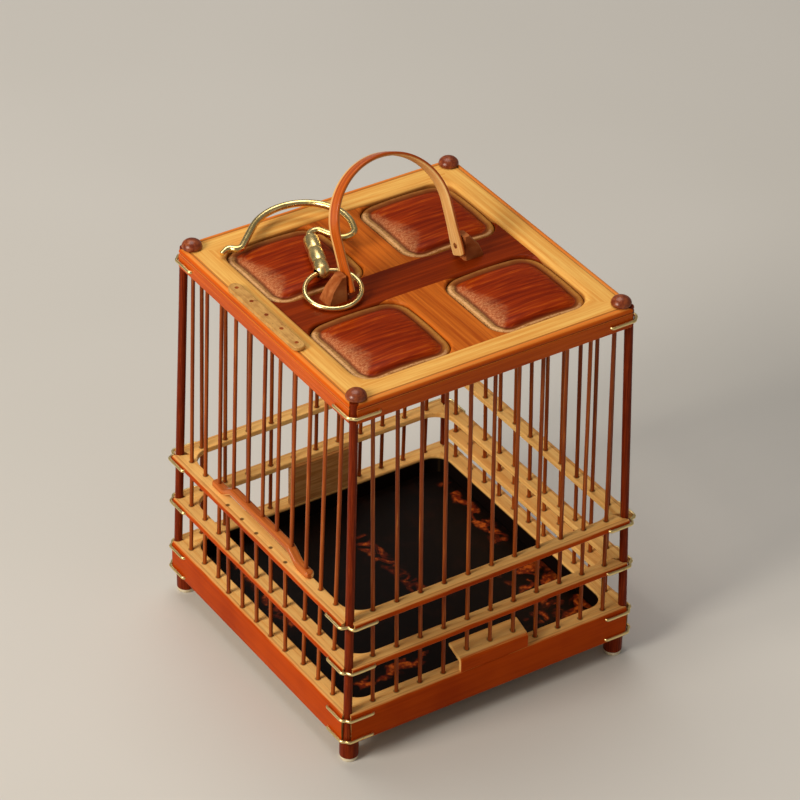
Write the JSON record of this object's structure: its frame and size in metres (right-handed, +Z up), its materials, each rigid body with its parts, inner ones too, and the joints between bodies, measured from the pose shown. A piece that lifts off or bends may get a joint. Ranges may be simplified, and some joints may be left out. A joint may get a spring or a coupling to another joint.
{
  "type": "cricket cage",
  "caption": "Small square bamboo cage for a singing cricket, with thin leaning bars, a lift door, a panelled roof, a swinging bail and a brass swivel hook.",
  "frame": {"origin": "on the ground, under the middle of the four feet", "axes": "+Z up, front towards -Y, lift door on the left side towards -X"},
  "size_m": [0.093, 0.093, 0.1422],
  "materials": {
    "bamboo_skin": "polished orange-brown bamboo skin",
    "bamboo_flesh": "satin pale bamboo with fine fibres",
    "dark_bamboo": "polished dark red-brown bamboo",
    "bamboo_bars": "drawn and oiled bamboo rod",
    "brass": "worn polished brass",
    "bone": "polished bone",
    "floor_lacquer": "dark glossy floor with amber patches"
  },
  "bodies": {
    "cage": {"base_board_front": "bamboo_skin", "base_board_right": "bamboo_skin", "base_board_back": "bamboo_skin", "base_board_left": "bamboo_skin", "lower_rail_front": "bamboo_flesh", "lower_rail_right": "bamboo_flesh", "lower_rail_back": "bamboo_flesh", "lower_rail_left": "bamboo_flesh", "upper_rail_front": "bamboo_flesh", "upper_rail_right": "bamboo_flesh", "upper_rail_back": "bamboo_flesh", "upper_rail_left": "bamboo_flesh", "top_frame_front": "bamboo_flesh", "top_frame_right": "bamboo_flesh", "top_frame_back": "bamboo_flesh", "top_frame_left": "bamboo_flesh", "roof_board": "dark_bamboo", "cross_rail_long": "bamboo_skin", "cross_rail_front": "bamboo_skin", "cross_rail_back": "bamboo_skin", "roof_panel_front_left": "dark_bamboo", "roof_panel_front_right": "dark_bamboo", "roof_panel_back_right": "dark_bamboo", "roof_panel_back_left": "dark_bamboo", "corner_posts": "dark_bamboo", "corner_beads": "dark_bamboo", "bars_front": "bamboo_bars", "bars_right": "bamboo_bars", "bars_back": "bamboo_bars", "bars_left": "bamboo_bars", "bars_below_door": "bamboo_bars", "top_frame_wires": "brass", "upper_rail_wires": "brass", "lower_rail_wires": "brass", "base_upper_wires": "brass", "base_lower_wires": "brass", "feet": "dark_bamboo", "foot_tips": "bone", "floor_panel": "floor_lacquer", "floor_battens": "bamboo_flesh", "feeding_ledge": "bamboo_flesh", "feeding_board": "bamboo_flesh", "side_strip": "bamboo_flesh", "bail_lugs": "dark_bamboo", "bail_pins": "brass"},
    "door": {"door_arch": "bamboo_skin", "door_bars": "bamboo_bars", "door_handle_strip": "bamboo_flesh"},
    "bail": {"bail": "bamboo_skin"},
    "ring": {"hook_ring": "brass"},
    "swivel": {"swivel_barrel": "brass"},
    "hook": {"hook": "brass"}
  },
  "joints": [
    {"name": "door_slide", "type": "slide", "parent": "cage", "child": "door", "axis": [0.0227, 0, 0.9997], "range_m": [0, 0.054]},
    {"name": "bail_pivot", "type": "hinge", "parent": "cage", "child": "bail", "pos_m": [0, 0.0011, 0.1152], "axis": [1, 0, 0], "range_deg": [0, 105]},
    {"name": "ring_turn", "type": "hinge", "parent": "cage", "child": "ring", "pos_m": [-0.02, 0.0026, 0.11305], "axis": [-0.0863, -0.1304, 0.9877], "continuous": true},
    {"name": "swivel_lift", "type": "hinge", "parent": "cage", "child": "swivel", "pos_m": [-0.01878, 0.00972, 0.1141], "axis": [0.9821, -0.1777, 0.0624], "range_deg": [0, 50]},
    {"name": "hook_turn", "type": "hinge", "parent": "swivel", "child": "hook", "pos_m": [-0.01878, 0.00972, 0.1141], "axis": [0.333, 0.9403, 0.0698], "range_deg": [0, 18]}
  ]
}
